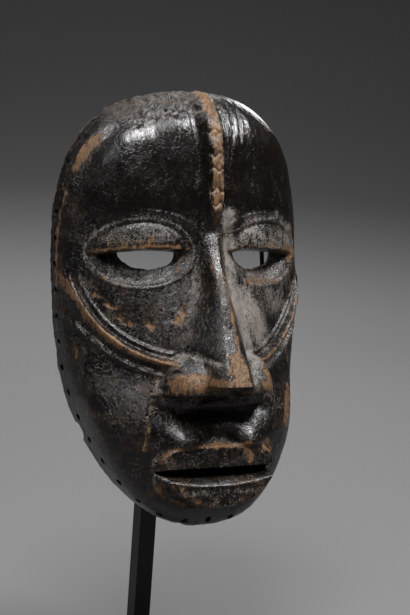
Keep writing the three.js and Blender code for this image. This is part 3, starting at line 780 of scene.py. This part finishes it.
class Finish:
    # one material: its nodes, its surface shader and the few textures that the finishes share
    def __init__(self, name):
        self.material = bpy.data.materials.new(name)
        self.material.use_nodes = True
        self.tree = self.material.node_tree
        self.surface = self.tree.nodes["Principled BSDF"]
        self.place = self.add("TexCoord").outputs["Object"]

    def add(self, kind, settings={}, values={}):
        node = self.tree.nodes.new("ShaderNode" + kind)
        for name, setting in settings.items():
            setattr(node, name, setting)
        for key, value in values.items():
            self.feed(node.inputs[key], value)
        return node

    def feed(self, socket, value):
        if isinstance(value, Term):
            value = value.socket
        if isinstance(value, bpy.types.NodeSocket):
            self.tree.links.new(value, socket)
        else:
            socket.default_value = value

    def attribute(self, name):
        return Term(self, self.add("Attribute", {"attribute_name": name}).outputs["Fac"])

    def texture(self, kind, settings, values, size, stretch):
        # a pattern whose lumps are about `size` millimetres across, stretched along an axis
        scale = tuple(1 / (size * mm * s) for s in stretch)
        mapped = self.add("Mapping", {}, {"Vector": self.place, "Scale": scale})
        return self.add(kind, settings, {"Vector": mapped.outputs[0], "Scale": 1.0, **values})

    def noise(self, size, detail=3, roughness=0.55, stretch=(1, 1, 1), distortion=0):
        values = {"Detail": detail, "Roughness": roughness, "Distortion": distortion}
        return Term(self, self.texture("TexNoise", {}, values, size, stretch).outputs["Fac"])

    def cracks(self, size, stretch):
        # distance to the nearest edge between cells
        node = self.texture("TexVoronoi", {"feature": "DISTANCE_TO_EDGE"}, {}, size, stretch)
        return Term(self, node.outputs["Distance"])

    def blend(self, share, first, second):
        # colour mix by a share
        node = self.add("Mix", {"data_type": "RGBA"})
        self.feed(node.inputs["Factor"], share)
        for socket, colour in ((node.inputs[6], first), (node.inputs[7], second)):
            self.feed(socket, (*colour, 1) if isinstance(colour, tuple) else colour)
        return node.outputs[2]

    def bump(self, height, distance, strength=1.0):
        values = {"Height": height, "Distance": distance * mm, "Strength": strength}
        return self.add("Bump", {}, values).outputs["Normal"]

    def dress(self, sockets):
        for name, value in sockets.items():
            self.feed(self.surface.inputs[name], value)
        return self.material


# the light grey for the smooth band low on the sides is a painted sheen, not a colour of the wood
woodLook = {
    "patina": (0.0032, 0.0028, 0.0025), "patinaBrown": (0.018, 0.0115, 0.0075), "halo": (0.035, 0.02, 0.011),
    "bare": (0.136, 0.07, 0.025), "bareDark": (0.024, 0.012, 0.006), "crust": (0.045, 0.03, 0.019),
    "dust": (0.19, 0.168, 0.15), "sheenBand": (0.046, 0.044, 0.043), "scratch": (0.12, 0.095, 0.072),
    "inside": (0.055, 0.033, 0.02), "specular": 0.38,
}


def woodFinish():
    # glossy black-brown patina, rubbed to bare wood on the high places, dusty low down
    f = Finish("carvedWood")
    c = woodLook
    grain = f.noise(1.1, 4, 0.6, stretch=(1, 1, 9))
    blotch = f.noise(16, 4, 0.6)
    speck = f.noise(2.2, 4, 0.65, stretch=(1, 1, 2.2))
    lumps = f.noise(5, 3, 0.6, stretch=(1, 1, 2.4))
    fine = f.noise(0.8, 3, 0.6)
    names = ("worn", "dust", "sheenBand", "polish", "crown", "inside", "grime")
    worn, dust, sheenBand, polish, crown, inside, grime = map(f.attribute, names)

    # ragged edges of the bare wood, and flecks of it elsewhere
    ragged = (speck - 0.5) * 1.7 + (lumps - 0.5) * 1.3 + (blotch - 0.5) * 0.5 + (grain - 0.5) * 0.5
    bare = (worn + ragged).step(0.58, 0.7)
    rubbed = (worn + ragged * 0.8).step(0.25, 0.62)
    flecks = (f.noise(3.4, 5, 0.7, stretch=(1, 1, 1.4)) + (blotch - 0.5) * 0.35).step(0.72, 0.76) * (1 - sheenBand)
    bare = bare.larger(flecks * 0.7 * (1 - inside))
    dusty = (dust + (fine - 0.5) * 2.2 + (speck - 0.5) * 1.2 + (blotch - 0.5)).step(0.42, 1.2) * (1 - bare)
    # scratches lie where a slow noise crosses its middle
    line = f.noise(6, 1, 0.4, distortion=2.2) - 0.5
    scratch = (1 - (line * line).step(0.0, 0.0005)) * f.noise(9, 2, 0.5).step(0.5, 0.6)
    granules = f.noise(1.9, 4, 0.7).step(0.52, 0.62)

    # colour: patina, then the painted sheen of the smooth band, dust, the crown's crust, bare wood and the
    # hollow over it
    brown = (blotch + (grain - 0.5) * 0.9 + (speck - 0.5) * 0.6).step(0.44, 0.8) * grime
    crusty = crown * (speck * 0.6 + lumps * 0.4).step(0.46, 0.6)
    colour = f.blend(brown, c["patina"], c["patinaBrown"])
    for share, over in ((rubbed * 0.8, "halo"), (sheenBand * 0.85, "sheenBand"),
                        (granules * blotch.step(0.4, 0.62) * grime * 0.6, "patinaBrown"),
                        (scratch * grime * 0.6, "scratch"), (dusty * 0.85, "dust"), (crusty * 0.9, "crust")):
        colour = f.blend(share, colour, c[over])
    rawGrain = (grain * 0.7 + lumps * 0.3 + (fine - 0.5) * 0.6).step(0.38, 0.6)
    colour = f.blend(bare, colour, f.blend(rawGrain, c["bareDark"], c["bare"]))
    colour = f.blend(inside, colour, f.blend(grain.step(0.35, 0.65), c["inside"], c["patinaBrown"]))

    rough = 0.17 + grime * 0.05 - polish.larger(sheenBand * 0.5) * 0.04 + blotch.step(0.35, 0.7) * grime * 0.1
    rough = rough + (speck - 0.5) * 0.36 + dusty * 0.4 + bare * 0.36 + crown * 0.15 + inside * 0.38
    crackle = f.cracks(2.6, (1, 1, 1.5)).step(0.0, 0.05)
    relief = lumps * 0.75 + speck * 0.42 + grain * 0.15 + fine * 0.06 + crackle * 0.07 - bare * 0.2
    relief = relief + granules * 0.07 - scratch * 0.08
    relief = relief * (grime * 0.7 + 0.3) * (1 - polish * 0.3) * (1 - bare * 0.4) + crown * speck * 0.7
    return f.dress({"Base Color": colour, "Roughness": rough, "Normal": f.bump(relief, 1.0),
                    "Specular IOR Level": c["specular"]})


steelLook = {"black": (0.012, 0.012, 0.0125), "brown": (0.03, 0.024, 0.019), "rubbed": (0.075, 0.07, 0.065),
             "metallic": 0.6, "barRoughness": 0.42, "rodRoughness": 0.5}


def steelFinish(name, roughness):
    # blackened steel: thin uneven oxide with faint draw lines along the height
    f = Finish(name)
    c = steelLook
    lines = f.noise(0.7, 3, 0.6, stretch=(1, 1, 30))
    cloud = f.noise(14, 4, 0.6)
    colour = f.blend((cloud + (lines - 0.5) * 0.5).step(0.4, 0.72) * 0.45, c["black"], c["brown"])
    colour = f.blend((lines + (cloud - 0.5) * 0.4).step(0.6, 0.78) * 0.5, colour, c["rubbed"])
    rough = roughness + (cloud - 0.5) * 0.25 + (lines - 0.5) * 0.12
    normal = f.bump(lines + cloud * 0.4, 0.08, 0.5)
    return f.dress({"Base Color": colour, "Roughness": rough, "Normal": normal, "Metallic": c["metallic"]})


# stand
stand = {"bevel": 0.5, "rodWidth": 3, "rodAcross": 67.5, "rodDepth": 5, "rodTip": 88, "rodTipIn": 9,
         "barSetback": 15, "gap": 0.3, "rodSides": 16, "rodSteps": 220, "sharpFrom": 50}


def blockOn(node, name, bevel):
    # the CAD block of that name with its edges eased
    low, high = (np.array(v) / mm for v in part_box(node))
    corners = low + (high - low) * np.array(list(np.ndindex(2, 2, 2)))
    faces = [(0, 1, 3, 2), (4, 6, 7, 5), (0, 4, 5, 1), (2, 3, 7, 6), (0, 2, 6, 4), (1, 5, 7, 3)]
    piece = newMesh(name, corners, faces)
    eased = piece.modifiers.new("eased", "BEVEL")
    eased.width = bevel * mm
    eased.segments = 3
    eased.limit_method = "ANGLE"
    return piece


def rodPath():
    # over the bar's top, out and up both sides of the hollow, then forward under the forehead
    s = stand
    half = s["rodWidth"] / 2
    across, depth, tip = s["rodAcross"], s["rodDepth"], s["rodTip"]
    barY = mask["forward"] + s["barSetback"]
    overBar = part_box("post")[1][2] / mm + s["gap"] + half
    tipX = across - s["rodTipIn"]
    tipDepth = hollowDepth(tipX, tip, domeShare(tipX, tip, mask["rimWall"])) - half - 2 * s["gap"]
    inMask = [(across, depth, -8), (across, depth, 34), (across, depth, tip - 14),
              (across - 0.4 * s["rodTipIn"], depth + 5, tip - 2), (tipX, tipDepth, tip)]
    side = [np.array([0.6 * across, barY - 9, overBar]), np.array([0.93 * across, barY - 17, overBar + 4])]
    side += [toObject(*place) for place in inMask]
    return np.array([p * (-1, 1, 1) for p in side[::-1]] + [np.array([0, barY, overBar])] + side)


def centripetal(points, count):
    # cubic curve through the points, its knots spaced by the square root of the distance between them
    ends = np.concatenate([[2 * points[0] - points[1]], points, [2 * points[-1] - points[-2]]])
    knots = np.concatenate([[0], np.cumsum(np.linalg.norm(np.diff(ends, axis=0), axis=1) ** 0.5)])
    t = np.linspace(knots[1], knots[-2], count)
    k = np.clip(np.searchsorted(knots, t, side="right") - 1, 1, len(ends) - 3)
    t = t[:, None]
    p0, p1, p2, p3 = (ends[k + d] for d in (-1, 0, 1, 2))
    t0, t1, t2, t3 = (knots[k + d][:, None] for d in (-1, 0, 1, 2))
    line = lambda fromT, toT, a, b: mix(a, b, (t - fromT) / (toT - fromT))
    first, second, third = line(t0, t1, p0, p1), line(t1, t2, p1, p2), line(t2, t3, p2, p3)
    return line(t1, t2, line(t0, t2, first, second), line(t1, t3, second, third))


def bentRod():
    # a circle carried along the path, square to it and closed at both ends
    s = stand
    path = centripetal(rodPath(), s["rodSteps"])
    tangent = unit(np.gradient(path, axis=0))
    sideways = unit(np.cross(tangent, [0.05, 1, 0.03]))
    other = np.cross(tangent, sideways)
    angle = fullTurn(s["rodSides"])[:, None]
    circle = np.cos(angle) * sideways[:, None, :] + np.sin(angle) * other[:, None, :]
    points = (path[:, None, :] + circle * s["rodWidth"] / 2).reshape(-1, 3)
    piece = newMesh("bentRod", points, closedTube(len(path), s["rodSides"]))
    outwards(piece)
    shadeSmooth(piece, s["sharpFrom"])
    return piece


def buildObject():
    wood = woodFinish()
    piece = maskShell()
    print("mask shell", len(piece.data.vertices), "vertices")
    cutAway(piece, cutters())
    print("after cutting", len(piece.data.vertices), "vertices")
    paintMask(piece.data)
    shadeSmooth(piece, mask["sharpFrom"])
    piece.data.materials.clear()
    piece.data.materials.append(wood)
    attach(piece, "root")
    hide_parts("mask")
    print("mask painted")

    steel = steelFinish("blackenedSteel", steelLook["barRoughness"])
    for node, name in (("post", "squareBar"), ("foot", "footPlate")):
        block = blockOn(node, name, stand["bevel"])
        block.data.materials.append(steel)
        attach(block, "root")
        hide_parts(node)
    rod = bentRod()
    rod.data.materials.append(steelFinish("blackenedRod", steelLook["rodRoughness"]))
    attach(rod, "root")
    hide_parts("cradle")
    print("stand built")


# studio: a pale floor that curves up into a wall all round, lights and camera
studio = {"floorRadius": 3200, "curve": 1400, "curveSteps": 13, "wall": 2600, "sides": 96, "roughness": 0.9,
          "paper": (0.115, 0.115, 0.1164), "world": (0.5, 0.51, 0.53), "worldStrength": 0.36}
# each light: place, what it faces, width and height, power in watts, spread in degrees
lamps = {
    "topFront": ((540, -500, 1310), (0, 0, 290), (360, 280), 19, 170),
    "overhead": ((-60, -380, 1500), (0, 0, 290), (420, 240), 3.5, 170),
    "upperLeft": ((-400, -560, 1290), (0, 0, 250), (380, 320), 15, 170),
    "leftStrip": ((-1000, -350, 940), (0, 0, 290), (90, 300), 0.7, 170),
    "leftBack": ((-640, 520, 1120), (0, 0, 290), (200, 260), 4.5, 170),
    "rightBack": ((780, 830, 730), (0, 0, 290), (110, 340), 1.7, 170),
    "floorPool": ((560, 1350, 1650), (560, 1350, 0), (700, 700), 14, 118),
    "farPool": ((1300, 2700, 1700), (1300, 2700, 0), (700, 700), 3, 118),
}
# camera: angles in degrees, focal length and shift in pixels of the image
view = {"turn": 28, "rise": 9.9, "roll": -4.09, "distance": 1100, "focal": 1717.6, "imageSize": (410, 615),
        "shift": (-5.2, 4.9), "aim": (0, -18.951, 264.626), "sensor": 36, "farthest": 30}


def studioBowl():
    # a profile turned about the z axis: flat floor, a quarter circle up, then a straight wall
    t = studio
    angle = np.linspace(0, math.pi / 2, t["curveSteps"])
    radius = np.concatenate([[t["floorRadius"] / 2], t["floorRadius"] + t["curve"] * np.sin(angle),
                             [t["floorRadius"] + t["curve"]]])[:, None]
    height = np.concatenate([[0.0], t["curve"] * (1 - np.cos(angle)), [t["wall"]]])[:, None]
    around = fullTurn(t["sides"])
    points = np.stack([radius * np.cos(around), radius * np.sin(around), height + 0 * around], -1)
    index = np.arange(points.size // 3).reshape(-1, t["sides"])
    bowl = newMesh("studioFloor", points.reshape(-1, 3), between(index).tolist() + [index[0].tolist()])
    bowl.data.shade_smooth()
    return bowl


def buildStudio():
    floor = studioBowl()
    paper = bpy.data.materials.new("studioPaper")
    paper.use_nodes = True
    surface = paper.node_tree.nodes["Principled BSDF"].inputs
    surface["Base Color"].default_value = (*studio["paper"], 1)
    surface["Roughness"].default_value = studio["roughness"]
    floor.data.materials.append(paper)
    world = bpy.data.worlds.new("studio")
    world.use_nodes = True
    sky = world.node_tree.nodes["Background"].inputs
    sky["Color"].default_value = (*studio["world"], 1)
    sky["Strength"].default_value = studio["worldStrength"]
    bpy.context.scene.world = world
    for name, (place, target, size, power, spread) in lamps.items():
        data = bpy.data.lights.new(name, "AREA")
        data.shape = "RECTANGLE"
        data.size, data.size_y = size[0] * mm, size[1] * mm
        data.energy = power
        data.spread = math.radians(spread)
        lamp = newObject(name, data)
        lamp.location = Vector(place) * mm
        lamp.rotation_mode = "QUATERNION"
        lamp.rotation_quaternion = (Vector(target) - Vector(place)).to_track_quat("-Z", "Y")
    bpy.context.scene.view_settings.view_transform = "Standard"


def buildCamera():
    # looks from the viewer's left and a little above, and is rolled a few degrees
    turn, rise, roll = (math.radians(view[k]) for k in ("turn", "rise", "roll"))
    back = np.array([-math.sin(turn) * math.cos(rise), -math.cos(turn) * math.cos(rise), math.sin(rise)])
    place = (np.array(view["aim"]) + back * view["distance"]) * mm
    right = unit(np.cross(-back, [0, 0, 1]))
    up = np.cross(right, -back)
    rolledRight = right * math.cos(roll) - up * math.sin(roll)
    rolledUp = right * math.sin(roll) + up * math.cos(roll)
    data = bpy.data.cameras.new("camera")
    longSide = max(view["imageSize"])
    data.sensor_width = view["sensor"]
    data.lens = view["focal"] * view["sensor"] / longSide
    data.shift_x = -view["shift"][0] / longSide
    data.shift_y = view["shift"][1] / longSide
    data.clip_end = view["farthest"]
    camera = newObject("camera", data)
    camera.matrix_world = Matrix(np.stack([rolledRight, rolledUp, back, place], -1).tolist() + [[0, 0, 0, 1]])
    bpy.context.scene.camera = camera


buildObject()
buildStudio()
buildCamera()
